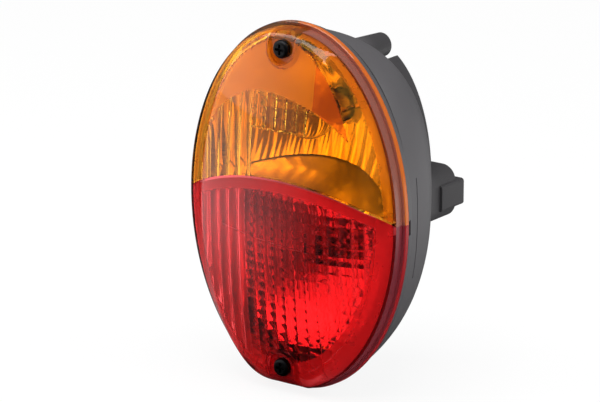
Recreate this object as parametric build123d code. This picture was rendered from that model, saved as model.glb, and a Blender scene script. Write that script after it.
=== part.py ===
from build123d import *
import math
import os

# Tail light cluster, millimetres. The origin is midway between the two rear bosses, on their end faces.
# The lens looks along -Y and +Z is up. Depths are measured from the back of the lens flange, rearward.
boss_end_depth = 69.0

# Lens outline: an upright oval, its middle a little above the origin
lens_half_width = 65.2
lens_half_height = 94.5
lens_centre_height = 0.5

# Lens form: flange, steep wall, bevelled sides and a dome that curves more across than along
flange_thickness = 2.6
flange_width = 2.0
lens_wall = 2.6
dome_rise = 25.4
dome_radius_across = 140.0
dome_radius_along = 450.0
bevel_half_width = 62.6
bevel_half_height = 93.2
bevel_rise = 8.3
bevel_slope = 1.62
end_round_top = 11.0
end_round_bottom = 16.0
end_lead = 0.6
colour_arch_height = 20.0
colour_arch_radius = 122.0
tongue_height = 2.0
tongue_thickness = 1.8

# Lens screws and their open pockets
screw_top_height = 84.0
screw_bottom_height = -80.0
screw_shank_radius = 2.1
screw_length = 19.0
screw_tip_length = 3.0
screw_tip_radius = 0.4
screw_head_radius = 4.7
screw_head_height = 3.0
screw_head_round = 1.8
screw_recess_width = 1.3
screw_recess_span = 5.4
screw_recess_depth = 1.8
pocket_radius = 7.8
pocket_floor_rise = 15.0
pocket_wall = 2.4

# Housing rim with the sealing groove and the upstand inside the lens wall
rim_overhang = 0.1
rim_thickness = 6.2
rim_draft = 0.38
ledge_reach = 10.0
upstand_height = 5.5
upstand_thickness = 1.6
upstand_gap = 0.4
groove_depth = 3.6
groove_clearance = 0.2
gasket_clearance = 0.05
post_radius = 4.5
post_root_depth = 12.0
screw_hole_clearance = 0.05

# Housing bowl: it leaves the rim as a plain oval and turns fuller toward the back
housing_wall = 2.6
bowl_half_width = 62.6
bowl_half_height = 91.3
bowl_lap = 1.2
back_depth = 60.0
back_round = 36.0
back_fullness = 2.4
bowl_side_draft = 0.225
bowl_end_draft = 0.51
back_rise = 8.0
oval_points = 32
round_steps = 4

# Rear face: mounting bosses with threaded inserts, oval rib
boss_height = 69.4
boss_radius = 6.2
boss_taper = 3.2
insert_radius = 4.0
insert_length = 12.0
insert_bore_radius = 2.5
insert_clearance = 0.05
rib_half_width = 35.5
rib_half_height = 66.4
rib_centre_height = 6.0
rib_thickness = 2.2
rib_end_depth = 63.0
rib_gap = 28.0

# Side marks of the housing
pry_slot_height = 7.8
pry_slot_depth = 3.3
pry_slot_reach = 2.4
seam_depth = 13.7
seam_width = 0.7
seam_engraving = 0.6
seam_top = 22.0
seam_bottom = -30.0

# Connector: round-cornered collar with a rectangular shroud
collar_x = 30.0
collar_z = -1.7
collar_width = 28.0
collar_height = 27.2
collar_corner = 8.0
collar_end_depth = 72.2
shroud_x = 35.0
shroud_z = -2.3
shroud_width = 21.0
shroud_height = 13.7
shroud_corner = 1.6
shroud_wall = 1.8
shroud_end_depth = 77.6
socket_depth = 14.0
blade_pitch = 4.0
blade_width = 2.8
blade_end_depth = 72.6
blade_clearance = 0.05

# Reflector dish with the dividing wall
reflector_wall = 1.5
reflector_lip = 1.2
reflector_seat = 1.1
dish_half_width = 54.4
dish_half_height = 81.5
dish_depth = 35.0
dish_round = 26.0
dish_draft = 0.08
dish_rise = 4.0
divider_thickness = 1.6
divider_gap = 0.5
post_gap = 0.8

# Lamps and their holders
indicator_height = 46.0
stop_height = -28.0
holder_clearance = 0.3
holder_wall = 0.7
holder_length = 17.0
holder_flange_radius = 11.5
holder_flange_thickness = 0.8
holder_hole_gap = 0.7
holder_seat_depth = 41.6
seat_ring_width = 2.3
cap_radius = 7.5
cap_wall = 0.5
cap_length = 16.5
cap_back_depth = 40.6
cap_pin_radius = 1.0
cap_pin_reach = 1.1
cap_pin_depth = 34.0
pin_stagger = 3.0
bulb_radius = 12.5
bulb_centre_depth = 8.0
neck_radius = 6.6
neck_round = 5.0
neck_in_cap = 6.0
glass_wall = 0.8
stem_radius = 2.8
stem_length = 12.0
support_radius = 0.4
filament_radius = 0.55
filament_span = 6.0
filament_offset = 1.4
base_thickness = 1.2
contact_radius = 1.7
contact_height = 1.6
contact_offset = 3.5
pip_radius = 1.5

# Contact strips
strip_thickness = 0.8
strip_width = 3.0
strip_depth = 43.2
strip_clearance = 0.3
strip_rib_width = 2.0
earth_lane_x = -10.0
earth_lane_z = 9.0
upper_lane_x = 19.0
upper_bend_z = 30.0
lower_lane_x = 22.0
lower_lane_z = -43.0
stop_bend_z = -6.0
tail_bend_z = -10.0


# Depth planes: sketches are drawn as (x, z) and face forward

def depth_plane(depth):
    return Plane(origin=(0, depth - boss_end_depth, 0), x_dir=(1, 0, 0), z_dir=(0, -1, 0))


def prism(sketch, front, back):
    return extrude(depth_plane(back) * sketch, amount=back - front)


def rod(x, z, radius, front, back):
    return prism(Pos(x, z) * Circle(radius), front, back)


def turned(profile, height):
    half = Pos(back_depth, 0) * Rectangle(2 * back_depth, 4 * back_depth)
    return Pos(0, -boss_end_depth, height) * revolve(profile & half, Axis.Y)


def outline(inset):
    return Pos(0, lens_centre_height) * Ellipse(lens_half_width - inset, lens_half_height - inset)


def full_oval(half_width, half_height, fullness):
    points = []
    for step in range(oval_points):
        across = math.cos(2 * math.pi * step / oval_points)
        along = math.sin(2 * math.pi * step / oval_points)
        x = half_width * math.copysign(abs(across) ** (2 / fullness), across)
        z = half_height * math.copysign(abs(along) ** (2 / fullness), along)
        points.append((x, z))
    return make_face(Spline(*points, periodic=True))


def round_stations(depth, rounding, inset):
    straight = depth - rounding
    radius = rounding - inset
    stations = []
    for step in range(round_steps + 1):
        angle = math.pi / 2 * step / round_steps
        stations.append((straight + radius * math.sin(angle), radius * (1 - math.cos(angle))))
    return stations


def bowl(inset, front):
    straight = back_depth - back_round
    sections = []
    for station, shrink in [(front, 0)] + round_stations(back_depth, back_round, inset):
        run = station - rim_thickness
        width = bowl_half_width - inset - bowl_side_draft * run - shrink
        height = bowl_half_height - inset - bowl_end_draft * run - shrink
        fullness = 2 + (back_fullness - 2) * min(station / straight, 1)
        place = depth_plane(station) * Pos(0, back_rise * station / back_depth)
        sections.append(place * full_oval(width, height, fullness))
    return loft(sections)


def dish(inset):
    sections = []
    for station, shrink in [(0, 0)] + round_stations(dish_depth, dish_round, inset):
        shrink += inset + dish_draft * station
        place = depth_plane(station) * Pos(0, dish_rise * station / dish_depth)
        sections.append(place * Ellipse(dish_half_width - shrink, dish_half_height - shrink))
    return loft(sections)


# Lens

def dome(inset):
    across = dome_radius_across - inset
    along = dome_radius_along - inset
    apex = inset - dome_rise - boss_end_depth
    reach = 2 * dome_rise
    disc = Pos(0, apex + across) * Circle(across)
    cap = disc & (Pos(0, apex + reach / 2) * Rectangle(4 * lens_half_width, reach))
    axis = Axis((0, apex + along, 0), (1, 0, 0))
    half_turn = math.degrees(math.asin(2 * lens_half_height / along))
    return revolve(cap, axis, 2 * half_turn).rotate(axis, -half_turn)


def bevel(inset):
    shift = inset * math.hypot(1, bevel_slope)
    sections = []
    for depth in (-dome_rise - lens_wall, bevel_rise):
        wide = bevel_half_width - shift + bevel_slope * (bevel_rise + depth)
        sections.append(depth_plane(depth) * Ellipse(wide, bevel_half_height - inset))
    return loft(sections, ruled=True)


def rounded_ends(inset):
    reach = lens_half_height - flange_width - inset
    top = lens_centre_height + reach
    bottom = lens_centre_height - reach
    front = inset - dome_rise - end_lead
    along = dome_radius_along - inset
    side = Plane.YZ * Pos(front - boss_end_depth + along, 0) * Circle(along)
    box = Plane.YZ * Pos(-boss_end_depth, (top + bottom) / 2) * Rectangle(3 * dome_rise, top - bottom)
    profile = side & box
    lower = profile.vertices().sort_by(Axis.Y)[:2].sort_by(Axis.Z)[0]
    profile = fillet(lower, end_round_bottom - inset)
    upper = profile.vertices().sort_by(Axis.Z)[-2:].sort_by(Axis.Y)[0]
    profile = fillet(upper, end_round_top - inset)
    return extrude(profile, amount=lens_half_width, both=True)


def lens_block(inset):
    wall = prism(outline(flange_width + inset), -2 * dome_rise, 0)
    return wall & dome(inset) & bevel(inset) & rounded_ends(inset)


def pocket_shape(height, radius):
    way_out = math.copysign(lens_half_height, height)
    slot = Pos(0, height + way_out / 2) * Rectangle(2 * radius, lens_half_height)
    return Pos(0, height) * Circle(radius) + slot


tongue_root = flange_width + lens_wall - tongue_thickness


def make_lens():
    outer = lens_block(0)
    lens = outer - lens_block(lens_wall)
    floor = -pocket_floor_rise
    for height in (screw_top_height, screw_bottom_height):
        surround = pocket_shape(height, pocket_radius + pocket_wall)
        lens += outer & prism(surround, -2 * dome_rise, floor + pocket_wall)
    for height in (screw_top_height, screw_bottom_height):
        lens -= prism(pocket_shape(height, pocket_radius), -2 * dome_rise, floor)
        lens -= rod(0, height, screw_shank_radius + groove_clearance, floor, 0)
    lens += prism(outline(0) - outline(flange_width + lens_wall), -flange_thickness, 0)
    lens += prism(outline(tongue_root) - outline(tongue_root + tongue_thickness), 0, tongue_height)
    return lens


def colour_arch(radius):
    return Pos(0, colour_arch_height - colour_arch_radius) * Circle(radius)


lens = make_lens()
below_arch = prism(colour_arch(colour_arch_radius), -2 * dome_rise, 2 * tongue_height)
lens_amber = lens - below_arch
lens_red = lens & below_arch


# Housing

groove_outer = tongue_root - groove_clearance
groove_inner = tongue_root + tongue_thickness + groove_clearance
bowl_solid = bowl(0, rim_thickness - bowl_lap)
bowl_space = bowl(housing_wall, rim_thickness)
earth_depth = holder_seat_depth
strip_back = strip_depth + strip_thickness
blade_x = [shroud_x + blade_pitch * (i - 1.5) for i in range(4)]
indicator_x, earth_x, stop_x, tail_x = blade_x

indicator_route = [(0, indicator_height), (upper_lane_x, indicator_height),
                   (indicator_x, upper_bend_z), (indicator_x, shroud_z)]
stop_route = [(contact_offset, stop_height), (lower_lane_x, stop_height),
              (stop_x, stop_bend_z), (stop_x, shroud_z)]
tail_route = [(-contact_offset, stop_height), (-contact_offset, lower_lane_z),
              (lower_lane_x, lower_lane_z), (tail_x, tail_bend_z), (tail_x, shroud_z)]
earth_spine = [(earth_lane_x, indicator_height), (earth_lane_x, stop_height)]
earth_branch = [(earth_lane_x, earth_lane_z), (earth_x, earth_lane_z), (earth_x, shroud_z)]


def track(route, width):
    sketch = Sketch()
    for (x0, z0), (x1, z1) in zip(route, route[1:]):
        run = math.hypot(x1 - x0, z1 - z0)
        turn = math.degrees(math.atan2(z1 - z0, x1 - x0))
        sketch += Pos((x0 + x1) / 2, (z0 + z1) / 2) * Rot(0, 0, turn) * SlotCenterToCenter(run, width)
    return sketch


def earth_track(width):
    return track(earth_spine, width) + track(earth_branch, width)


def rim():
    front = depth_plane(0) * outline(-rim_overhang)
    back = depth_plane(rim_thickness) * outline(rim_draft * rim_thickness - rim_overhang)
    ring = loft([front, back], ruled=True) - prism(outline(ledge_reach), 0, rim_thickness)
    slot = Pos(lens_half_width + rim_overhang, 0) * Rectangle(2 * pry_slot_reach, pry_slot_height)
    return ring - prism(slot, 0, pry_slot_depth)


def upstand():
    outer = flange_width + lens_wall + upstand_gap
    ring = prism(outline(outer) - outline(outer + upstand_thickness), -upstand_height, 0)
    return ring & lens_block(lens_wall + upstand_gap)


def screw_posts():
    top = -pocket_floor_rise + pocket_wall
    posts = Part()
    for height in (screw_top_height, screw_bottom_height):
        posts += rod(0, height, post_radius, top, rim_thickness)
        posts += rod(0, height, post_radius, rim_thickness / 2, post_root_depth) & bowl_solid
    return posts


def rear_features():
    oval = Ellipse(rib_half_width, rib_half_height)
    oval -= Ellipse(rib_half_width - rib_thickness, rib_half_height - rib_thickness)
    rib = Pos(0, rib_centre_height) * oval - Rectangle(rib_gap, 4 * rib_half_height)
    features = prism(rib, rim_thickness, rib_end_depth)
    for side in (1, -1):
        end = depth_plane(boss_end_depth) * Pos(0, side * boss_height) * Circle(boss_radius)
        features += extrude(end, amount=boss_end_depth - post_root_depth, taper=-boss_taper)
    collar = Pos(collar_x, collar_z) * RectangleRounded(collar_width, collar_height, collar_corner)
    features += prism(collar, rim_thickness, collar_end_depth)
    shroud = Pos(shroud_x, shroud_z) * RectangleRounded(shroud_width, shroud_height, shroud_corner)
    features += prism(shroud, collar_end_depth - socket_depth, shroud_end_depth)
    return features - bowl_space


def inner_supports():
    supports = Part()
    seat_ring = Circle(holder_flange_radius) - Circle(holder_flange_radius - seat_ring_width)
    for height in (indicator_height, stop_height):
        supports += prism(Pos(0, height) * seat_ring, holder_seat_depth, back_depth)
    for route in (indicator_route, stop_route, tail_route):
        supports += prism(track(route, strip_rib_width), strip_back, back_depth)
    supports += prism(earth_track(strip_rib_width), earth_depth + strip_thickness, back_depth)
    supports &= bowl_solid
    room = strip_width + 2 * strip_clearance
    for route in (indicator_route, stop_route, tail_route):
        supports -= prism(track(route, room), strip_depth - contact_height, strip_back)
    supports -= prism(earth_track(room), earth_depth - strip_thickness, earth_depth + strip_thickness)
    return supports


def make_housing():
    housing = rim() + (bowl_solid - bowl_space - prism(outline(ledge_reach), 0, rim_thickness))
    for feature in (upstand(), screw_posts(), rear_features(), inner_supports()):
        housing += feature
    housing -= prism(outline(groove_outer) - outline(groove_inner), 0, groove_depth)
    for height in (screw_top_height, screw_bottom_height):
        tip = screw_length - pocket_floor_rise
        housing -= rod(0, height, screw_shank_radius + screw_hole_clearance, -pocket_floor_rise, tip)
    for side in (1, -1):
        housing -= rod(0, side * boss_height, insert_radius + insert_clearance,
                       boss_end_depth - insert_length, boss_end_depth)
    socket = RectangleRounded(shroud_width - 2 * shroud_wall, shroud_height - 2 * shroud_wall,
                              shroud_corner / 2)
    housing -= prism(Pos(shroud_x, shroud_z) * socket, shroud_end_depth - socket_depth, shroud_end_depth)
    slot = Rectangle(strip_thickness + 2 * blade_clearance, blade_width + 2 * blade_clearance)
    for x in blade_x:
        housing -= prism(Pos(x, shroud_z) * slot, earth_depth, shroud_end_depth)
    seam = Rectangle(bowl_half_width, seam_top - seam_bottom)
    seam = Pos(bowl_half_width, (seam_top + seam_bottom) / 2) * seam
    engraving = prism(seam, seam_depth - seam_width / 2, seam_depth + seam_width / 2)
    return housing - (engraving - bowl(seam_engraving, rim_thickness))


housing = make_housing()
gasket_outer = groove_outer + gasket_clearance
gasket_inner = groove_inner - gasket_clearance
lens_gasket = prism(outline(gasket_outer) - outline(gasket_inner), tongue_height, groove_depth)


# Lens screws: pan heads with a cross recess and a pointed tip

def lens_screw(height):
    floor = -pocket_floor_rise
    tip = floor + screw_length
    shank = rod(0, height, screw_shank_radius, floor, tip)
    shank = chamfer(shank.edges().sort_by(Axis.Y)[-1], screw_tip_length,
                    screw_shank_radius - screw_tip_radius)
    crown = floor - screw_head_height
    head = rod(0, height, screw_head_radius, crown, floor)
    head = fillet(head.edges().sort_by(Axis.Y)[0], screw_head_round)
    cross = Rectangle(screw_recess_span, screw_recess_width)
    cross += Rectangle(screw_recess_width, screw_recess_span)
    recess = prism(Pos(0, height) * cross, crown, crown + screw_recess_depth)
    return head + shank - recess


# Reflector

def make_reflector():
    mouth = Ellipse(dish_half_width - reflector_wall, dish_half_height - reflector_wall)
    lip = prism(outline(ledge_reach - reflector_seat) - mouth, -reflector_lip, 0)
    shell = dish(0) - dish(reflector_wall)
    arch = colour_arch(colour_arch_radius) - colour_arch(colour_arch_radius - divider_thickness)
    wall = prism(arch, -2 * dome_rise, 2 * dish_depth)
    crest = lens_block(lens_wall + divider_gap) & prism(outline(ledge_reach), -2 * dome_rise, 0)
    reflector = lip + shell + (wall & dish(0)) + (wall & crest)
    sleeve = cap_radius + holder_clearance + holder_wall
    for height in (indicator_height, stop_height):
        reflector -= rod(0, height, sleeve + holder_hole_gap, 0, dish_depth)
    for height in (screw_top_height, screw_bottom_height):
        reflector -= rod(0, height, post_radius + post_gap, -dome_rise, dish_depth)
    return reflector


# Lamp holders: flanged sleeves with bayonet slots

def holder(height, stagger):
    inner = cap_radius + holder_clearance
    outer = inner + holder_wall
    front = holder_seat_depth - holder_length
    sleeve = rod(0, height, outer, front, holder_seat_depth)
    flange_front = holder_seat_depth - holder_flange_thickness
    sleeve += rod(0, height, holder_flange_radius, flange_front, holder_seat_depth)
    sleeve -= rod(0, height, inner, front, holder_seat_depth)
    for side in (1, -1):
        pin_depth = cap_pin_depth - (stagger if side < 0 else 0)
        width = 2 * (cap_pin_radius + holder_clearance)
        slot = Pos(side * outer, height) * Rectangle(2 * outer - inner, width)
        sleeve -= prism(slot, front, pin_depth + width / 2)
    return sleeve


# Lamps: blown bulb on a closed stem, brass cap with pins, base disc, solder contacts

def bulb_profile(grow):
    neck_end = cap_back_depth - cap_length + neck_in_cap
    ball = Pos(0, bulb_centre_depth) * Circle(bulb_radius - grow)
    neck_run = neck_end - bulb_centre_depth - grow
    neck = Pos(0, bulb_centre_depth + neck_run / 2) * Rectangle(2 * (neck_radius - grow), neck_run)
    profile = ball + neck
    corners = profile.vertices().filter_by(lambda v: bulb_centre_depth < v.Y < neck_end - 2 * glass_wall)
    return fillet(corners, neck_round + grow)


def glass(height):
    neck_end = cap_back_depth - cap_length + neck_in_cap
    envelope = turned(bulb_profile(0), height) - turned(bulb_profile(glass_wall), height)
    return envelope + rod(0, height, stem_radius, neck_end - stem_length, neck_end)


def cap(height, stagger):
    front = cap_back_depth - cap_length
    shell = rod(0, height, cap_radius, front, cap_back_depth)
    shell -= rod(0, height, cap_radius - cap_wall, front, cap_back_depth)
    for side in (1, -1):
        pin_depth = cap_pin_depth - (stagger if side < 0 else 0)
        middle = (side * (cap_radius + (cap_pin_reach - cap_wall) / 2), pin_depth - boss_end_depth, height)
        shell += Pos(*middle) * Rot(0, 90, 0) * Cylinder(cap_pin_radius, cap_pin_reach + cap_wall)
    return shell


def filament(height, offset):
    stem_top = cap_back_depth - cap_length + neck_in_cap - stem_length
    wires = Part()
    for side in (1, -1):
        wires += rod(side * filament_span / 2, height + offset, support_radius, bulb_centre_depth, stem_top)
    middle = (0, bulb_centre_depth - boss_end_depth, height + offset)
    coil = Cylinder(filament_radius, filament_span + 2 * support_radius)
    return wires + Pos(*middle) * Rot(0, 90, 0) * coil


def base_disc(height):
    return rod(0, height, cap_radius - cap_wall, cap_back_depth - base_thickness, cap_back_depth)


def contact(x, height):
    return rod(x, height, contact_radius, cap_back_depth, cap_back_depth + contact_height)


# Contact strips with pressed contact pips and blade terminals

def strip(sketch, front, x):
    back = front + strip_thickness
    blade = Pos(x, shroud_z) * Rectangle(strip_thickness, blade_width)
    return prism(sketch, front, back) + prism(blade, front, blade_end_depth)


def live_strip(route, x):
    pip_x, pip_z = route[0]
    pip = rod(pip_x, pip_z, pip_radius, cap_back_depth + contact_height, strip_depth)
    return strip(track(route, strip_width), strip_depth, x) + pip


def insert(height):
    ring = Pos(0, height) * (Circle(insert_radius) - Circle(insert_bore_radius))
    return prism(ring, boss_end_depth - insert_length, boss_end_depth)


nodes = {
    "housing": housing,
    "lens_amber": lens_amber,
    "lens_red": lens_red,
    "lens_gasket": lens_gasket,
    "lens_screw_top": lens_screw(screw_top_height),
    "lens_screw_bottom": lens_screw(screw_bottom_height),
    "reflector": make_reflector(),
    "indicator_holder": holder(indicator_height, 0),
    "stop_holder": holder(stop_height, pin_stagger),
    "indicator_glass": glass(indicator_height),
    "indicator_cap": cap(indicator_height, 0),
    "indicator_filament": filament(indicator_height, 0),
    "indicator_base": base_disc(indicator_height),
    "indicator_contact": contact(0, indicator_height),
    "stop_glass": glass(stop_height),
    "stop_cap": cap(stop_height, pin_stagger),
    "stop_filament": filament(stop_height, filament_offset),
    "tail_filament": filament(stop_height, -filament_offset),
    "stop_base": base_disc(stop_height),
    "stop_contact": contact(contact_offset, stop_height),
    "tail_contact": contact(-contact_offset, stop_height),
    "indicator_strip": live_strip(indicator_route, indicator_x),
    "stop_strip": live_strip(stop_route, stop_x),
    "tail_strip": live_strip(tail_route, tail_x),
    "earth_strip": strip(earth_track(strip_width), earth_depth, earth_x),
    "insert_top": insert(boss_height),
    "insert_bottom": insert(-boss_height),
}

os.makedirs("parts", exist_ok=True)
for name, solid in nodes.items():
    export_step(solid, f"parts/{name}.step")
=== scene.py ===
import math
import bpy
import bmesh
from mathutils import Matrix, Vector


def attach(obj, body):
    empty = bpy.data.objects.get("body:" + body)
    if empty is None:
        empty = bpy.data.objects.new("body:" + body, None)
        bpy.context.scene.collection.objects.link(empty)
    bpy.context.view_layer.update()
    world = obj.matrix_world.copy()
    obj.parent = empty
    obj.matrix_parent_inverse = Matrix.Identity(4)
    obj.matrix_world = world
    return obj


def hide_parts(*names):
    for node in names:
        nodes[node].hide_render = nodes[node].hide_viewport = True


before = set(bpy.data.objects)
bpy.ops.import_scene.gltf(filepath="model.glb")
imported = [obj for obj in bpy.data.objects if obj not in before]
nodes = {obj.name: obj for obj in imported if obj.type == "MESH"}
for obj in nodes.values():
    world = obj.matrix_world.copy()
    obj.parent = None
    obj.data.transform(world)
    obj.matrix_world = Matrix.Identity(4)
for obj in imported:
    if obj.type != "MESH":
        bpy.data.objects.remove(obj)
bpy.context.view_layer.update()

scene = bpy.context.scene
scene.view_settings.view_transform = "Standard"
mm = 0.001
flangeY = -69.0  # back of the lens flange, millimetres
print("frame loaded:", len(nodes), "nodes")


# shader helpers
def put(tree, kind, inputs=None, **props):
    made = tree.nodes.new(kind)
    for name, value in props.items():
        setattr(made, name, value)
    for name, value in (inputs or {}).items():
        if isinstance(value, bpy.types.NodeSocket):
            tree.links.new(value, made.inputs[name])
        else:
            made.inputs[name].default_value = value
    return made


def maths(tree, operation, *values, clamp=False):
    made = put(tree, "ShaderNodeMath", dict(enumerate(values)), operation=operation, use_clamp=clamp)
    return made.outputs[0]


def blend(tree, factor, first, second):
    made = put(tree, "ShaderNodeMix", {0: factor, 6: first, 7: second}, data_type="RGBA")
    return made.outputs[2]


def ramp(tree, value, low, high, outLow=0.0, outHigh=1.0, smooth=True):
    made = put(tree, "ShaderNodeMapRange", {"Value": value, "From Min": low, "From Max": high,
                                            "To Min": outLow, "To Max": outHigh},
               interpolation_type="SMOOTHSTEP" if smooth else "LINEAR")
    return made.outputs["Result"]


def place(tree):
    return put(tree, "ShaderNodeTexCoord").outputs["Object"]


def split(tree, vector):
    return put(tree, "ShaderNodeSeparateXYZ", {0: vector}).outputs


def noise(tree, vector, scale, detail=3.0, roughness=0.5):
    return put(tree, "ShaderNodeTexNoise", {"Vector": vector, "Scale": scale, "Detail": detail,
                                            "Roughness": roughness}).outputs["Fac"]


def bump(tree, height, strength, distance):
    return put(tree, "ShaderNodeBump", {"Height": height, "Strength": strength,
                                        "Distance": distance}).outputs["Normal"]


def newGroup(name, inputs, outputs):
    group = bpy.data.node_groups.new(name, "ShaderNodeTree")
    for label, kind, value in inputs:
        group.interface.new_socket(label, in_out="INPUT", socket_type=kind).default_value = value
    for label, kind in outputs:
        group.interface.new_socket(label, in_out="OUTPUT", socket_type=kind)
    return group, group.nodes.new("NodeGroupInput").outputs, group.nodes.new("NodeGroupOutput").inputs


def placed(tree, group, **inputs):
    return put(tree, "ShaderNodeGroup", inputs, node_tree=group).outputs


def newMaterial(name, **constants):
    made = bpy.data.materials.new(name)
    made.use_nodes = True
    tree = made.node_tree
    shader = tree.nodes["Principled BSDF"]
    for label, value in constants.items():
        shader.inputs[label.replace("_", " ")].default_value = value
    return made, tree, shader


# fine moulded grain: a tone for the colour, a height for the bump
def mouldGrainGroup():
    group, given, out = newGroup("mouldGrain", [("Vector", "NodeSocketVector", (0, 0, 0)),
                                                ("Scale", "NodeSocketFloat", 900.0)],
                                 [("Height", "NodeSocketFloat"), ("Tone", "NodeSocketFloat")])
    fine = noise(group, given["Vector"], given["Scale"], 4.0, 0.6)
    broad = noise(group, given["Vector"], 28.0, 3.0, 0.5)
    group.links.new(fine, out["Height"])
    group.links.new(maths(group, "ADD", maths(group, "MULTIPLY", fine, 0.35),
                          maths(group, "MULTIPLY", broad, 0.65)), out["Tone"])
    return group


# drawn or pressed metal: streaks and handling marks
def metalStreakGroup():
    group, given, out = newGroup("metalStreak", [("Vector", "NodeSocketVector", (0, 0, 0)),
                                                 ("Stretch", "NodeSocketVector", (1, 1, 1)),
                                                 ("Scale", "NodeSocketFloat", 400.0)],
                                 [("Streak", "NodeSocketFloat"), ("Stain", "NodeSocketFloat")])
    drawn = put(group, "ShaderNodeVectorMath", {0: given["Vector"], 1: given["Stretch"]},
                operation="MULTIPLY")
    group.links.new(noise(group, drawn.outputs[0], given["Scale"], 3.0, 0.6), out["Streak"])
    group.links.new(ramp(group, noise(group, given["Vector"], 60.0, 4.0, 0.6), 0.4, 0.75), out["Stain"])
    return group


mouldGrain = mouldGrainGroup()
metalStreak = metalStreakGroup()


def grainPlastic(name, dark, light, rough, scale=900.0, depth=0.00006, strength=0.25, rearShade=None, ringLight=None):
    made, tree, shader = newMaterial(name, IOR=1.5)
    at = place(tree)
    grain = placed(tree, mouldGrain, Vector=at, Scale=scale)
    colour = blend(tree, grain["Tone"], (*dark, 1), (*light, 1))
    if rearShade:  # painted shade: the rear features are darkened, standing in for the shade they sit in
        rearShadeFade = ramp(tree, split(tree, at)["Y"], rearShade[0], rearShade[1])
        colour = blend(tree, rearShadeFade, colour, (*[c * rearShade[2] for c in dark], 1))
    if ringLight:  # painted light: the housing face inside the lens ring is painted pale, standing in for backdrop light seen through the lens edge
        x, y, z = split(tree, at)
        across = maths(tree, "POWER", maths(tree, "DIVIDE", x, ringLight["halfWidth"]), 2.0)
        upward = maths(tree, "SUBTRACT", z, ringLight["centre"])
        along = maths(tree, "POWER", maths(tree, "DIVIDE", upward, ringLight["halfHeight"]), 2.0)
        inside = ramp(tree, maths(tree, "ADD", across, along), 0.99, 1.0, 1.0, 0.0)
        ahead = ramp(tree, y, ringLight["until"] - 0.0002, ringLight["until"], 1.0, 0.0)
        aside = ramp(tree, maths(tree, "ABSOLUTE", x), ringLight["post"], ringLight["post"] + 0.001)
        mask = maths(tree, "MULTIPLY", maths(tree, "MULTIPLY", inside, ahead), aside)
        colour = blend(tree, mask, colour, (*ringLight["colour"], 1))
    tree.links.new(colour, shader.inputs["Base Color"])
    tree.links.new(ramp(tree, grain["Tone"], 0.2, 0.8, rough[0], rough[1], False), shader.inputs["Roughness"])
    tree.links.new(bump(tree, grain["Height"], strength, depth), shader.inputs["Normal"])
    return made


def streakMetal(name, dark, light, rough, stretch=(1, 1, 1), scale=400.0, web=None):
    made, tree, shader = newMaterial(name, Metallic=1.0)
    at = place(tree)
    streak = placed(tree, metalStreak, Vector=at, Stretch=stretch, Scale=scale)
    clean = blend(tree, streak["Streak"], (*dark, 1), (*light, 1))
    stained = blend(tree, maths(tree, "MULTIPLY", streak["Stain"], 0.3), clean, (*[c * 0.6 for c in dark], 1))
    tree.links.new(stained, shader.inputs["Base Color"])
    roughness = ramp(tree, streak["Streak"], 0.3, 0.7, rough[0], rough[1], False)
    if web:  # the dividing web is left with a satin face
        x, y, z = split(tree, at)
        upward = maths(tree, "POWER", maths(tree, "SUBTRACT", z, web["centre"]), 2.0)
        reach = maths(tree, "SQRT", maths(tree, "MULTIPLY_ADD", x, x, upward))
        off = maths(tree, "ABSOLUTE", maths(tree, "SUBTRACT", reach, web["radius"]))
        roughness = ramp(tree, off, web["half"] * 0.9, web["half"], web["rough"], roughness)
        metallic = ramp(tree, off, web["half"] * 0.9, web["half"], web["metal"], 1.0)
        tree.links.new(metallic, shader.inputs["Metallic"])
    tree.links.new(roughness, shader.inputs["Roughness"])
    return made


# painted light: a pale patch on the housing inside the lens ring, for light seen through the lens edge
paintedRingLight = {"halfWidth": 0.0594, "halfHeight": 0.0887, "centre": 0.0005, "until": -0.0685, "post": 0.009,
             "colour": (0.82, 0.82, 0.82)}
# painted shade: the housing colour darkens towards its rear features
housingPlastic = grainPlastic("housingPlastic", (0.078, 0.074, 0.079), (0.108, 0.104, 0.11), (0.42, 0.58),
                              rearShade=(-0.03, -0.01, 0.55), ringLight=paintedRingLight)
sealRubber = grainPlastic("sealRubber", (0.02, 0.02, 0.02), (0.035, 0.035, 0.035), (0.75, 0.9), 500.0)
baseInsulator = grainPlastic("baseInsulator", (0.015, 0.014, 0.016), (0.03, 0.028, 0.03), (0.1, 0.2), 300.0)
screwBlack = streakMetal("screwBlack", (0.012, 0.012, 0.013), (0.035, 0.035, 0.037), (0.3, 0.45), scale=600.0)
holderZinc = streakMetal("holderZinc", (0.5, 0.5, 0.49), (0.68, 0.68, 0.67), (0.25, 0.4), (1, 0.1, 1), 500.0)
capBrass = streakMetal("capBrass", (0.62, 0.46, 0.2), (0.8, 0.62, 0.3), (0.2, 0.35), (1, 0.1, 1), 500.0)
stripBrass = streakMetal("stripBrass", (0.6, 0.44, 0.19), (0.78, 0.6, 0.3), (0.2, 0.4), (1, 1, 0.1), 500.0)
insertBrass = streakMetal("insertBrass", (0.6, 0.45, 0.2), (0.8, 0.62, 0.32), (0.2, 0.35),
                          (1, 0.15, 1), 700.0)
filamentWire = streakMetal("filamentWire", (0.28, 0.28, 0.29), (0.42, 0.42, 0.43), (0.3, 0.5), scale=900.0)
contactSolder = streakMetal("contactSolder", (0.45, 0.45, 0.46), (0.65, 0.65, 0.66), (0.35, 0.55),
                            scale=300.0)
satinWeb = {"centre": -0.102, "radius": 0.122, "half": 0.0022, "rough": 0.24, "metal": 0.6}
mirrorCoat = {"dark": (0.8, 0.8, 0.8), "light": (0.92, 0.92, 0.92), "rough": (0.04, 0.09), "scale": 120.0}
reflectorCoat = streakMetal("reflectorCoat", **mirrorCoat)
reflectorShell = streakMetal("reflectorShell", **mirrorCoat, web=satinWeb)


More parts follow.
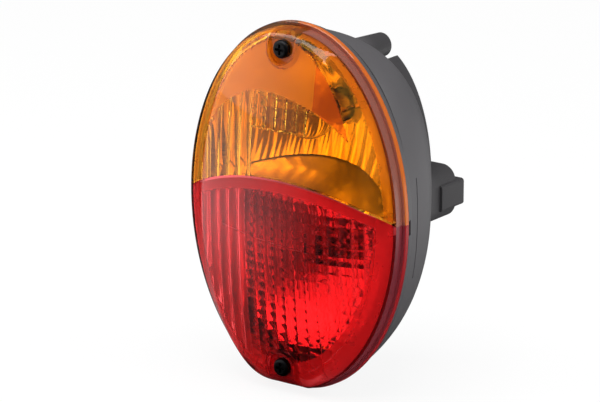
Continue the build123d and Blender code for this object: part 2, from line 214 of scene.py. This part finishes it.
def bulbGlassMaterial():
    made, tree, shader = newMaterial("bulbGlass", Transmission_Weight=1.0, IOR=1.15)
    tone = noise(tree, place(tree), 90.0, 2.0)
    tree.links.new(blend(tree, tone, (0.9, 0.92, 0.92, 1), (1, 1, 1, 1)), shader.inputs["Base Color"])
    tree.links.new(ramp(tree, tone, 0.3, 0.7, 0.01, 0.03), shader.inputs["Roughness"])
    return made


bulbGlass = bulbGlassMaterial()


# coloured lens plastic, clear or partly matt, with a faint scratch if asked
def lensPlastic(name, deep, pale, rough, scratch=None, clear=1.0):
    made, tree, shader = newMaterial(name, Transmission_Weight=clear, IOR=1.49)
    at = place(tree)
    tone = noise(tree, at, 22.0, 3.0)
    colour = blend(tree, tone, (*deep, 1), (*pale, 1))
    roughness = ramp(tree, noise(tree, at, 140.0, 3.0), 0.3, 0.7, rough[0], rough[1], False)
    if scratch:
        turned = put(tree, "ShaderNodeMapping", {"Vector": at, "Location": scratch["shift"],
                                                 "Rotation": (0, scratch["turn"], 0)}, vector_type="TEXTURE")
        along, depth, across = split(tree, turned.outputs[0])
        sway = scratch["sway"]
        wander = maths(tree, "MULTIPLY_ADD", noise(tree, at, 90.0, 2.0), sway, -sway / 2)
        off = maths(tree, "ABSOLUTE", maths(tree, "ADD", across, wander))
        line = ramp(tree, off, scratch["width"][0], scratch["width"][1], 1.0, 0.0)
        ends = ramp(tree, maths(tree, "ABSOLUTE", along), scratch["half"] * 0.6, scratch["half"], 1.0, 0.0)
        broken = ramp(tree, noise(tree, at, 420.0, 2.0), 0.35, 0.6)
        mark = maths(tree, "MULTIPLY", maths(tree, "MULTIPLY", line, ends), broken)
        colour = blend(tree, maths(tree, "MULTIPLY", mark, 0.5), colour, (0.9, 0.6, 0.6, 1))
        roughness = maths(tree, "ADD", roughness, maths(tree, "MULTIPLY", mark, 0.5), clamp=True)
    tree.links.new(colour, shader.inputs["Base Color"])
    tree.links.new(roughness, shader.inputs["Roughness"])
    return made


# for each tone of a lens: deep colour, pale colour, roughness and how much of it is clear
amberTones = {"Skin": ((0.94, 0.43, 0.03), (0.98, 0.49, 0.04), (0.02, 0.04), 1.0),
              "Optics": ((0.95, 0.45, 0.03), (0.98, 0.51, 0.04), (0.03, 0.06), 1.0),
              "Frosted": ((0.95, 0.4, 0.08), (0.98, 0.44, 0.1), (0.5, 0.6), 0.4),
              # Edge: painted highlight on the flange's right half, painted shade on the plain zone's right
              # part
              "Edge": ((0.88, 0.2, 0.03), (0.94, 0.26, 0.04), (0.05, 0.12), 0.5),
              "Soft": ((0.95, 0.36, 0.03), (0.98, 0.42, 0.04), (0.25, 0.35), 0.6),
              # Wall: painted shade, the dark rim seen through the wall's right half
              "Wall": ((0.46, 0.17, 0.13), (0.54, 0.21, 0.16), (0.1, 0.2), 0.6),
              # Pocket: painted shade in the screw pocket
              "Pocket": ((0.16, 0.03, 0.005), (0.75, 0.25, 0.02), (0.03, 0.08), 0.85),
              "Flute": ((0.97, 0.45, 0.04), (0.99, 0.51, 0.05), (0.015, 0.03), 0.8)}
redTones = {"Skin": ((0.84, 0.085, 0.095), (0.9, 0.11, 0.12), (0.02, 0.05), 1.0),
            "Optics": ((0.84, 0.085, 0.095), (0.9, 0.11, 0.12), (0.03, 0.06), 1.0),
            "Frosted": ((0.92, 0.08, 0.09), (0.97, 0.1, 0.11), (0.5, 0.6), 0.4),
            # Edge: painted highlight on the flange's right half
            "Edge": ((0.6, 0.03, 0.04), (0.68, 0.04, 0.05), (0.05, 0.12), 0.6),
            "Soft": ((0.94, 0.06, 0.07), (0.98, 0.08, 0.09), (0.25, 0.35), 0.45),
            # Wall: painted shade, the dark rim seen through the wall's right half
            "Wall": ((0.32, 0.05, 0.07), (0.4, 0.07, 0.09), (0.1, 0.2), 0.6),
            # Pocket: painted shade in the screw pocket
            "Pocket": ((0.3, 0.01, 0.015), (0.75, 0.03, 0.04), (0.03, 0.08), 0.85),
            "Flute": ((0.92, 0.085, 0.095), (0.97, 0.11, 0.12), (0.015, 0.03), 0.6)}
redScratch = {"shift": (-0.006, 0, -0.012), "turn": 0.1, "half": 0.034, "sway": 0.0011,
              "width": (0.00006, 0.0002)}
toneNames = list(amberTones)


def lensMaterials(colour, tones, scratch=None):
    made = []
    for tone, (deep, pale, rough, clear) in tones.items():
        made.append(lensPlastic(colour + tone, deep, pale, rough, scratch if tone == "Skin" else None, clear))
    return made


amberPlastics = lensMaterials("amber", amberTones)
redPlastics = lensMaterials("red", redTones, redScratch)
print("materials made")


def dress(material, *names):
    for name in names:
        node = nodes[name]
        if not node.data.materials:
            node.data.materials.append(material)
        for index in range(len(node.data.materials)):
            node.data.materials[index] = material


dress(housingPlastic, "housing")
dress(sealRubber, "lens_gasket")
dress(screwBlack, "lens_screw_top", "lens_screw_bottom")
dress(reflectorShell, "reflector")
dress(holderZinc, "indicator_holder", "stop_holder")
dress(bulbGlass, "indicator_glass", "stop_glass")
dress(capBrass, "indicator_cap", "stop_cap")
dress(filamentWire, "indicator_filament", "stop_filament", "tail_filament")
dress(baseInsulator, "indicator_base", "stop_base")
dress(contactSolder, "indicator_contact", "stop_contact", "tail_contact")
dress(stripBrass, "indicator_strip", "stop_strip", "tail_strip", "earth_strip")
dress(insertBrass, "insert_top", "insert_bottom")


# lens form, millimetres; depth is measured rearward from the back of the flange
lensForm = {"halfWidth": 65.2, "halfHeight": 94.5, "centre": 0.5,
            "rise": 25.4, "across": 140.0, "along": 450.0,
            "bevelHalf": 62.6, "bevelTall": 93.2, "bevelRise": 8.3, "bevelSlope": 1.62,
            "endTop": 11.0, "endBottom": 16.0, "endLead": 0.6, "flangeWidth": 2.0, "wall": 2.6,
            "crease": 0.5, "endCrease": 8.0, "archHeight": 20.0, "archRadius": 122.0, "seamGap": 0.03,
            "pocketFloor": -15.0, "pocketWall": 2.4, "pocketRadius": 7.8, "pocketStep": 0.02,
            "pocketRun": 2.0, "lipShare": 0.93,
            "skinStraight": 56.5, "opticStraight": 54.0, "counts": (17, 73, 14), "sharp": 32,
            "skinRim": [(2.0, -2.6), (0.4, -2.6), (0.0, -2.2), (0.0, 0.0), (2.8, 0.0), (2.8, 2.0)],
            "opticRim": [(4.6, -2.2), (4.6, -1.7), (4.6, -1.2), (4.6, -0.6), (4.6, 0.0), (4.6, 2.0)]}


def archZ(x):
    f = lensForm
    return f["archHeight"] - f["archRadius"] + math.sqrt(f["archRadius"] ** 2 - x * x)


# a point of the outline at an angle, moved in by an inset; side is 1 for the top, -1 for the bottom
def outlinePoint(angle, inset, side):
    f = lensForm
    x = (f["halfWidth"] - inset) * math.cos(angle)
    z = (f["halfHeight"] - inset) * math.sin(angle)
    return x, f["centre"] + side * z


def softMax(a, b, width):
    gap = max(width - abs(a - b), 0.0) / width
    return max(a, b) + gap * gap * width / 4


def lensDepth(x, z, inset):
    f = lensForm
    across = f["across"] - inset
    along = f["along"] - inset
    sag = across - math.sqrt(across * across - x * x)
    front = inset - f["rise"] + along - math.sqrt((along - sag) ** 2 - z * z)
    squeeze = math.sqrt(max(1 - (z / (f["bevelTall"] - inset)) ** 2, 0.0004))
    shift = inset * math.hypot(1, f["bevelSlope"])
    bevel = (abs(x) / squeeze - f["bevelHalf"] + shift) / f["bevelSlope"] - f["bevelRise"]
    side = 1 if z > 0 else -1
    bend = f["endTop" if z > 0 else "endBottom"] - inset
    turn = f["halfHeight"] + side * f["centre"] - f["flangeWidth"] - inset - bend
    ahead = inset - f["rise"] - f["endLead"] + along
    end = ahead - math.sqrt(along ** 2 - z * z)
    if abs(z) > turn * along / (along - bend):
        over = min(abs(z) - turn, bend)
        end = ahead - math.sqrt((along - bend) ** 2 - turn ** 2) - math.sqrt(bend ** 2 - over ** 2)
    return softMax(softMax(bevel, end, f["endCrease"]), front, f["crease"])


# one column list for a sheet: where it leaves the colour arch and where it meets the outline
def sheetColumns(inset, side, pocket, straight, counts):
    f = lensForm
    wide = f["halfWidth"] - inset
    tall = f["halfHeight"] - inset
    low, high = 0.8 * wide, wide
    for turn in range(60):  # where the arch runs out to the outline
        middle = (low + high) / 2
        inside = (middle / wide) ** 2 + ((archZ(middle) - f["centre"]) / tall) ** 2 < 1
        low, high = (middle, high) if inside else (low, middle)
    corner = low
    cornerAngle = side * math.asin((archZ(corner) - f["centre"]) / tall)
    half = []
    for k in range(counts[0]):
        x = pocket * k / counts[0]
        half.append((x, math.acos(x / wide)))
    brink = pocket - f["pocketStep"]  # a thin strip makes the pocket's wall
    half.append((brink, math.acos(brink / wide)))
    for k in range(counts[1]):
        x = pocket + (straight - pocket) * k / counts[1]
        half.append((x, math.acos(x / wide)))
    start = math.acos(straight / wide)
    for k in range(counts[2] + 1):
        t = k / counts[2]
        half.append((straight + (corner - straight) * t, start + (cornerAngle - start) * t))
    mirrored = [(-x, math.pi - angle) for x, angle in half[:0:-1]]
    return mirrored + half


# the optics inside the lens, as extra thickness
def rollRelief(at, pitch, radius):
    c = at - pitch * math.floor(at / pitch) - pitch / 2
    return math.sqrt(radius * radius - c * c) - math.sqrt(radius * radius - pitch * pitch / 4)


amberLens = {"name": "lens_amber_shell", "node": "lens_amber", "side": 1, "screw": 84.0, "rows": (96, 14),
             "plainCentre": 9.0, "plainRadius": 55.0, "plainStep": 0.9,
             "plainLean": 4.4, "leanFrom": -20.0, "leanTo": 15.0, "frostTo": 19.5,
             "flutePitch": 7.2, "fluteRadius": 6.0, "fluteFrom": -14.4,
             "pillowPitch": (6.0, 5.0), "pillowRadius": (8.0, 8.0), "pillowFrom": 44.0, "pillowTo": 17.0,
             "left": (52, 88), "right": (45, 88), "soft": (56.5, 90.0)}
redLens = {"name": "lens_red_shell", "node": "lens_red", "side": -1, "screw": -80.0, "rows": (140, 12),
           "bandWidth": 7.0, "plainStep": 0.9,
           "flutePitch": 7.2, "fluteRadius": 6.0, "fluteFrom": -18.0,
           "pillowPitch": (6.0, 5.0), "pillowRadius": (9.2, 9.2),
           "left": (53, 83), "right": (53, 83), "soft": (52.0, 76.5), "frostTo": 66.0}


def opticZone(x, z, cfg):
    wide, tall = cfg["left"] if x < 0 else cfg["right"]
    if (x / wide) ** 2 + (z / tall) ** 2 > 1:
        return "clear"
    if cfg["side"] > 0:
        lean = (x - cfg["leanFrom"]) / (cfg["leanTo"] - cfg["leanFrom"])
        lowest = cfg["plainCentre"] - cfg["plainLean"] * min(max(lean, 0.0), 1.0)
        if z > lowest + math.sqrt(max(cfg["plainRadius"] ** 2 - x * x, 0)):
            return "plain"
    elif z > archZ(x) - cfg["bandWidth"]:
        return "plain"
    if x < cfg["fluteFrom"]:
        return "flutes"
    if "pillowFrom" in cfg and (z < cfg["pillowFrom"] or x > cfg["pillowTo"]):
        return "clear"
    return "pillows"


def opticRelief(x, z, cfg):
    zone = opticZone(x, z, cfg)
    if zone == "plain":
        return cfg["plainStep"]
    if zone == "flutes":
        return rollRelief(x, cfg["flutePitch"], cfg["fluteRadius"])
    if zone == "pillows":
        return (rollRelief(x, cfg["pillowPitch"][0], cfg["pillowRadius"][0])
                + rollRelief(z, cfg["pillowPitch"][1], cfg["pillowRadius"][1]))
    return 0.0


def opticTone(x, z, cfg):
    zone = opticZone(x, z, cfg)
    if zone == "plain":
        # painted shade: the plain zone's right part takes the darker Edge tone, for the shade line of the
        # dish edge
        return "Edge" if x > cfg["frostTo"] else "Frosted"
    if zone == "flutes":
        return "Flute"
    soft = (x / cfg["soft"][0]) ** 2 + (z / cfg["soft"][1]) ** 2 > 1
    return "Soft" if soft else "Optics"


def makeLens(cfg, materials):
    f = lensForm
    side = cfg["side"]
    skinInset = f["flangeWidth"]
    opticInset = f["flangeWidth"] + f["wall"]
    skinColumns = sheetColumns(skinInset, side, f["pocketRadius"], f["skinStraight"], f["counts"])
    opticColumns = sheetColumns(opticInset, side, f["pocketRadius"] + f["pocketWall"], f["opticStraight"],
                                f["counts"])
    fieldRows, edgeRows = cfg["rows"]
    rimStart = fieldRows + edgeRows + 1
    rowCount = rimStart + len(f["skinRim"])
    bm = bmesh.new()
    bmesh.ops.create_grid(bm, x_segments=len(skinColumns) - 1, y_segments=rowCount - 1, size=1)
    column = bm.verts.layers.int.new("column")
    row = bm.verts.layers.int.new("row")
    for v in bm.verts:
        v[column] = round((v.co.x + 1) / 2 * (len(skinColumns) - 1))
        v[row] = round((v.co.y + 1) / 2 * (rowCount - 1))
    made = bmesh.ops.extrude_face_region(bm, geom=bm.faces[:], use_keep_orig=True)["geom"]
    optic = {v for v in made if isinstance(v, bmesh.types.BMVert)}
    opticFaces = {g for g in made if isinstance(g, bmesh.types.BMFace)}

    def pointAt(v):
        inner = v in optic
        inset = opticInset if inner else skinInset
        columns = opticColumns if inner else skinColumns
        rim = f["opticRim" if inner else "skinRim"]
        radius = f["pocketRadius"] + (f["pocketWall"] if inner else 0)
        floor = f["pocketFloor"] + (f["pocketWall"] if inner else 0)
        xArch, angle = columns[v[column]]
        xEdge, zEdge = outlinePoint(angle, inset, side)
        zArch = archZ(xArch) + side * f["seamGap"]
        j = v[row]
        inPocket = abs(xArch) < radius
        lipShare = f["lipShare"]
        if inPocket:
            lip = cfg["screw"] - side * math.sqrt(radius ** 2 - xArch ** 2)
            lipShare = (lip - zArch) / (zEdge - zArch)
        elif side * zEdge > side * cfg["screw"] + f["pocketRun"]:
            lipShare = (cfg["screw"] - zArch) / (zEdge - zArch)
        if j >= rimStart:
            rimInset, depth = rim[j - rimStart]
            x, z = outlinePoint(angle, rimInset, side)
            return x, depth, z
        if j <= fieldRows:
            share = lipShare * j / fieldRows
        else:
            share = lipShare + (1 - lipShare) * (j - fieldRows - 1) / (edgeRows - 1)
        x = xArch + share * (xEdge - xArch)
        z = zArch + share * (zEdge - zArch)
        if inPocket and j > fieldRows:
            return x, max(floor, lensDepth(x, z, f["wall"] if inner else 0.0)), z
        if not inner:
            return x, lensDepth(x, z, 0.0), z
        return x, lensDepth(x, z, f["wall"]) + opticRelief(x, z, cfg), z

    spots = {v: pointAt(v) for v in bm.verts}
    for v, (x, depth, z) in spots.items():
        v.co = Vector((x, flangeY + depth, z)) * mm
    for face in bm.faces:
        face.smooth = True
        lowRow = min(v[row] for v in face.verts)
        middle = face.calc_center_median() / mm
        tone = "Skin"
        if lowRow > rimStart and middle.x > 0:
            tone = "Edge"  # the flange; painted highlight: only its right half takes the partly matt Edge tone, for a bright edge line
        # painted shade: the screw pocket's outer faces take the dark Pocket tone, standing in for the shade
        # in the recess
        elif lowRow >= fieldRows and abs(middle.x) < f["pocketRadius"] and face not in opticFaces:
            tone = "Pocket"
        elif lowRow >= rimStart - 1 and middle.x > 0:
            tone = "Wall"  # the upright wall, over the dark rim; painted shade: only its right half takes the dark Wall tone, standing in for the rim seen through it
        elif face in opticFaces:
            tone = opticTone(middle.x, middle.z, cfg)
        face.material_index = toneNames.index(tone)
    bmesh.ops.remove_doubles(bm, verts=bm.verts[:], dist=2e-6)
    bmesh.ops.recalc_face_normals(bm, faces=bm.faces[:])
    mesh = bpy.data.meshes.new(cfg["name"])
    bm.to_mesh(mesh)
    bm.free()
    mesh.set_sharp_from_angle(angle=math.radians(f["sharp"]))
    for material in materials:
        mesh.materials.append(material)
    made = bpy.data.objects.new(cfg["name"], mesh)
    scene.collection.objects.link(made)
    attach(made, "root")
    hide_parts(cfg["node"])
    print(cfg["name"], len(mesh.polygons), "faces")
    return made


amberShell = makeLens(amberLens, amberPlastics)
redShell = makeLens(redLens, redPlastics)


# the reflector's columns: a bowl about each lamp, in upright strips
dishForm = {"halfWidth": 52.9, "halfHeight": 80.0, "depth": 35.0, "wall": 1.5, "bend": 24.5, "straight": 9.0,
            "draft": 0.08, "rise": 4.0, "bury": 0.7}
columnSet = {"pitch": 7.0, "steps": 6, "rows": 64, "focus": (40.0, 22.0), "back": 32.6, "radius": 26.0,
             "hole": 10.2, "holeSnap": 1.6, "thick": 0.9, "mouth": (51.0, 76.5),
             "skirtLeast": 0.2, "sharp": 9}
stopColumns = {"name": "stop_columns", "lamp": -28.0, "side": -1, "columns": 14, "gap": 2.3}
indicatorColumns = {"name": "indicator_columns", "lamp": 46.0, "side": 1, "columns": 13, "gap": 0.6}


def dishDepth(x, z):
    d = dishForm
    low, high = 0.0, d["depth"] - d["wall"]
    for turn in range(40):
        middle = (low + high) / 2
        over = max(middle - d["straight"], 0.0)
        shrink = d["bend"] - math.sqrt(max(d["bend"] ** 2 - over ** 2, 0.0)) + d["draft"] * middle
        lift = d["rise"] * middle / d["depth"]
        inside = (x / (d["halfWidth"] - shrink)) ** 2 + ((z - lift) / (d["halfHeight"] - shrink)) ** 2 < 1
        low, high = (middle, high) if inside else (low, middle)
    return low


def makeColumns(cfg):
    c = columnSet
    wide = cfg["columns"] * c["pitch"]
    across = cfg["columns"] * c["steps"]
    bm = bmesh.new()
    bmesh.ops.create_grid(bm, x_segments=across, y_segments=c["rows"], size=1)
    for v in bm.verts:
        x = v.co.x * wide / 2
        edge = c["mouth"][1] * math.sqrt(1 - (x / c["mouth"][0]) ** 2)
        near = archZ(x) + cfg["side"] * cfg["gap"]
        z = near + (v.co.y + 1) / 2 * (cfg["side"] * edge - near)
        off = Vector((x, z - cfg["lamp"]))
        if off.length < c["hole"]:  # lamp hole, cut below
            off = off.normalized() * c["hole"] if off.length > c["hole"] - c["holeSnap"] else off
            x, z = off.x, off.y + cfg["lamp"]
        bowl = c["back"] - x * x / (4 * c["focus"][0]) - (z - cfg["lamp"]) ** 2 / (4 * c["focus"][1])
        bowl -= rollRelief(x + wide / 2, c["pitch"], c["radius"])
        v.co = Vector((x, flangeY + min(bowl, dishDepth(x, z) + dishForm["bury"]), z)) * mm
    lamp = Vector((0, cfg["lamp"])) * mm
    inHole = [f for f in bm.faces if (f.calc_center_median().xz - lamp).length < (c["hole"] - 0.1) * mm]
    bmesh.ops.delete(bm, geom=inHole, context="FACES")
    clearOfHole = (c["hole"] + 1) * mm
    border = [e for e in bm.edges if e.is_boundary and (e.verts[0].co.xz - lamp).length > clearOfHole]
    skirt = bmesh.ops.extrude_edge_only(bm, edges=border)["geom"]
    for v in skirt:  # a skirt closes the space behind the columns
        if isinstance(v, bmesh.types.BMVert):
            back = (flangeY + dishDepth(v.co.x / mm, v.co.z / mm) + dishForm["bury"]) * mm
            v.co.y = max(v.co.y + c["skirtLeast"] * mm, back)
    bmesh.ops.recalc_face_normals(bm, faces=bm.faces[:])
    bmesh.ops.solidify(bm, geom=bm.faces[:], thickness=c["thick"] * mm)
    bmesh.ops.recalc_face_normals(bm, faces=bm.faces[:])
    for face in bm.faces:
        face.smooth = True
    mesh = bpy.data.meshes.new(cfg["name"])
    bm.to_mesh(mesh)
    bm.free()
    mesh.set_sharp_from_angle(angle=math.radians(c["sharp"]))
    mesh.materials.append(reflectorCoat)
    made = bpy.data.objects.new(cfg["name"], mesh)
    scene.collection.objects.link(made)
    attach(made, "root")
    print(cfg["name"], len(mesh.polygons), "faces")


makeColumns(stopColumns)
makeColumns(indicatorColumns)


# floor, lamps and camera
stageSet = {"floorZ": -0.0936, "floorHalf": 6.0, "white": 1.0, "shadowShare": 0.12,
            "world": 0.5, "worldMirror": 0.12, "worldThrough": 1.6,
            # painted shadow: the floor's brightness in reflections drops near the object (from reach, to
            # reach, least level)
            "mirrorFade": (0.6, 2.4), "mirrorShadowNear": (0.12, 0.4, 0.15),
            "mirror": ((-86, 0.05), (-74, 1.2), (-52, 1.1), (0, 0.03), (105, 0.03), (125, 1.0)),
            "through": ((-100, 2.0), (-80, 1.6), (-58, 1.6), (-40, 0.3), (-5, 0.2), (24, 1.2)),
            "wallRadius": 1.5, "wallFrom": -92, "wallTo": 58, "wallTop": 3.0,
            "wallMirror": ((-90, 0.12), (-78, 1.5), (-58, 1.5), (-8, 0.12)),
            "wallDark": ((-20, 0.25), (18, 0.25), (32, 2.4)), "wallBright": 3.2,
            "wallEdge": (1.45, 2.05), "wallSoft": 0.08, "wallSteps": 24}


# a brightness that follows the bearing round the lamp, in degrees from the front
def levelAt(tree, bearing, levels):
    level = levels[0][1]
    for (start, first), (end, last) in zip(levels, levels[1:]):
        step = ramp(tree, bearing, math.radians(start), math.radians(end), 0.0, last - first)
        level = maths(tree, "ADD", step, level)
    return level


# the floor reads white to the camera; in the lens its brightness follows the bearing
def floorMaterial():
    s = stageSet
    made = bpy.data.materials.new("paleFloor")
    made.use_nodes = True
    tree = made.node_tree
    tree.nodes.remove(tree.nodes["Principled BSDF"])
    at = place(tree)
    tone = noise(tree, at, 3.0, 2.0)
    shade = blend(tree, tone, (0.86, 0.86, 0.86, 1), (0.9, 0.9, 0.9, 1))
    paper = put(tree, "ShaderNodeBsdfDiffuse", {"Color": shade})
    path = put(tree, "ShaderNodeLightPath").outputs
    x, y, z = split(tree, at)
    bearing = maths(tree, "ARCTAN2", x, maths(tree, "MULTIPLY", y, -1.0))
    strength = maths(tree, "MULTIPLY", path["Is Camera Ray"], s["white"])
    reach = put(tree, "ShaderNodeVectorMath", {0: at}, operation="LENGTH").outputs["Value"]
    # the far floor fades into the dim room
    near = ramp(tree, reach, s["mirrorFade"][0], s["mirrorFade"][1], 1.0, 0.0)
    # painted shadow: in reflections the floor darkens close to the object, standing in for the shadow it
    # casts
    nearShadow = ramp(tree, reach, s["mirrorShadowNear"][0], s["mirrorShadowNear"][1], s["mirrorShadowNear"][2], 1.0)
    level = maths(tree, "MULTIPLY", levelAt(tree, bearing, s["mirror"]), nearShadow)
    mirrored = ramp(tree, near, 0.0, 1.0, s["worldMirror"], level, False)
    strength = maths(tree, "MULTIPLY_ADD", path["Is Glossy Ray"], mirrored, strength)
    through = levelAt(tree, bearing, s["through"])
    strength = maths(tree, "MULTIPLY_ADD", path["Is Transmission Ray"], through, strength)
    glow = put(tree, "ShaderNodeEmission", {"Color": (1, 1, 1, 1), "Strength": strength})
    direct = maths(tree, "MULTIPLY", path["Is Camera Ray"], 1 - s["shadowShare"])
    bounced = maths(tree, "MAXIMUM", path["Is Glossy Ray"], path["Is Transmission Ray"])
    share = maths(tree, "MAXIMUM", direct, bounced)
    mixed = put(tree, "ShaderNodeMixShader", {0: share, 1: paper.outputs[0], 2: glow.outputs[0]})
    tree.links.new(mixed.outputs[0], tree.nodes["Material Output"].inputs["Surface"])
    return made


def makeFloor():
    bm = bmesh.new()
    bmesh.ops.create_grid(bm, x_segments=2, y_segments=2, size=stageSet["floorHalf"])
    bmesh.ops.translate(bm, verts=bm.verts[:], vec=(0, 0, stageSet["floorZ"]))
    mesh = bpy.data.meshes.new("floor")
    bm.to_mesh(mesh)
    bm.free()
    mesh.materials.append(floorMaterial())
    made = bpy.data.objects.new("floor", mesh)
    scene.collection.objects.link(made)


# a soft light wall round the front, out of the camera's sight; a slanted edge parts bright from dim
def wallMaterial():
    s = stageSet
    made = bpy.data.materials.new("softWall")
    made.use_nodes = True
    tree = made.node_tree
    tree.nodes.remove(tree.nodes["Principled BSDF"])
    path = put(tree, "ShaderNodeLightPath").outputs
    x, y, z = split(tree, place(tree))
    bearing = maths(tree, "ARCTAN2", x, maths(tree, "MULTIPLY", y, -1.0))
    lowest = maths(tree, "MULTIPLY_ADD", bearing, s["wallEdge"][1], s["wallEdge"][0])
    above = maths(tree, "SUBTRACT", z, lowest)
    dim = levelAt(tree, bearing, s["wallDark"])
    through = ramp(tree, above, -s["wallSoft"], s["wallSoft"], dim, s["wallBright"])
    mirrored = levelAt(tree, bearing, s["wallMirror"])
    strength = ramp(tree, path["Is Transmission Ray"], 0.0, 1.0, mirrored, through, False)
    glow = put(tree, "ShaderNodeEmission", {"Color": (1, 1, 1, 1), "Strength": strength})
    tree.links.new(glow.outputs[0], tree.nodes["Material Output"].inputs["Surface"])
    return made


def makeWall():
    s = stageSet
    bm = bmesh.new()
    start = math.radians(s["wallFrom"])
    foot = bm.verts.new((s["wallRadius"] * math.sin(start), -s["wallRadius"] * math.cos(start), s["floorZ"]))
    head = bm.verts.new((foot.co.x, foot.co.y, s["wallTop"]))
    edge = bm.edges.new((foot, head))
    bmesh.ops.spin(bm, geom=[foot, head, edge], cent=(0, 0, 0), axis=(0, 0, 1),
                   angle=math.radians(s["wallTo"] - s["wallFrom"]), steps=s["wallSteps"])
    mesh = bpy.data.meshes.new("softWall")
    bm.to_mesh(mesh)
    bm.free()
    mesh.materials.append(wallMaterial())
    made = bpy.data.objects.new("softWall", mesh)
    scene.collection.objects.link(made)
    made.visible_camera = False
    made.visible_shadow = False
    made.visible_diffuse = False


def makeWorld():
    world = bpy.data.worlds.new("studio")
    scene.world = world
    world.use_nodes = True
    tree = world.node_tree
    path = put(tree, "ShaderNodeLightPath").outputs
    strength = ramp(tree, path["Is Camera Ray"], 0.0, 1.0, stageSet["world"], stageSet["white"], False)
    strength = ramp(tree, path["Is Glossy Ray"], 0.0, 1.0, strength, stageSet["worldMirror"], False)
    strength = ramp(tree, path["Is Transmission Ray"], 0.0, 1.0, strength, stageSet["worldThrough"], False)
    tree.links.new(strength, tree.nodes["Background"].inputs["Strength"])
    tree.nodes["Background"].inputs["Color"].default_value = (1, 1, 1, 1)


def areaLamp(name, at, aim, size, power):
    light = bpy.data.lights.new(name, "AREA")
    light.shape = "RECTANGLE"
    light.size, light.size_y = size
    light.energy = power
    made = bpy.data.objects.new(name, light)
    made.location = at
    made.rotation_euler = (Vector(aim) - Vector(at)).to_track_quat("-Z", "Y").to_euler()
    scene.collection.objects.link(made)


makeFloor()
makeWall()
makeWorld()
areaLamp("topSoftbox", (0.1, -0.5, 1.7), (0, -0.05, 0), (1.4, 1.4), 22.0)
areaLamp("fanSoftbox", (-0.98, -0.82, 1.27), (0, -0.05, 0), (1.2, 1.0), 7.0)
areaLamp("rightSoftbox", (1.5, 0.4, 0.8), (0, 0, 0), (1.0, 1.0), 10.0)

photoView = {"azimuth": 36.3, "elevation": 16.5, "distance": 1.792, "target": (-0.00065, -0.069, 0.00282),
             "lens": 216.0}


def makeCamera():
    p = photoView
    a, e = math.radians(p["azimuth"]), math.radians(p["elevation"])
    back = Vector((math.sin(a) * math.cos(e), -math.cos(a) * math.cos(e), math.sin(e)))
    right = Vector((math.cos(a), math.sin(a), 0))
    up = back.cross(right)
    eye = Vector(p["target"]) + back * p["distance"]
    data = bpy.data.cameras.new("photoCamera")
    data.lens = p["lens"]
    data.sensor_width = 36.0
    data.sensor_fit = "HORIZONTAL"
    data.clip_start = 0.05
    made = bpy.data.objects.new("photoCamera", data)
    made.matrix_world = Matrix(((right.x, up.x, back.x, eye.x), (right.y, up.y, back.y, eye.y),
                                (right.z, up.z, back.z, eye.z), (0, 0, 0, 1)))
    scene.collection.objects.link(made)
    scene.camera = made


makeCamera()
print("stage set")
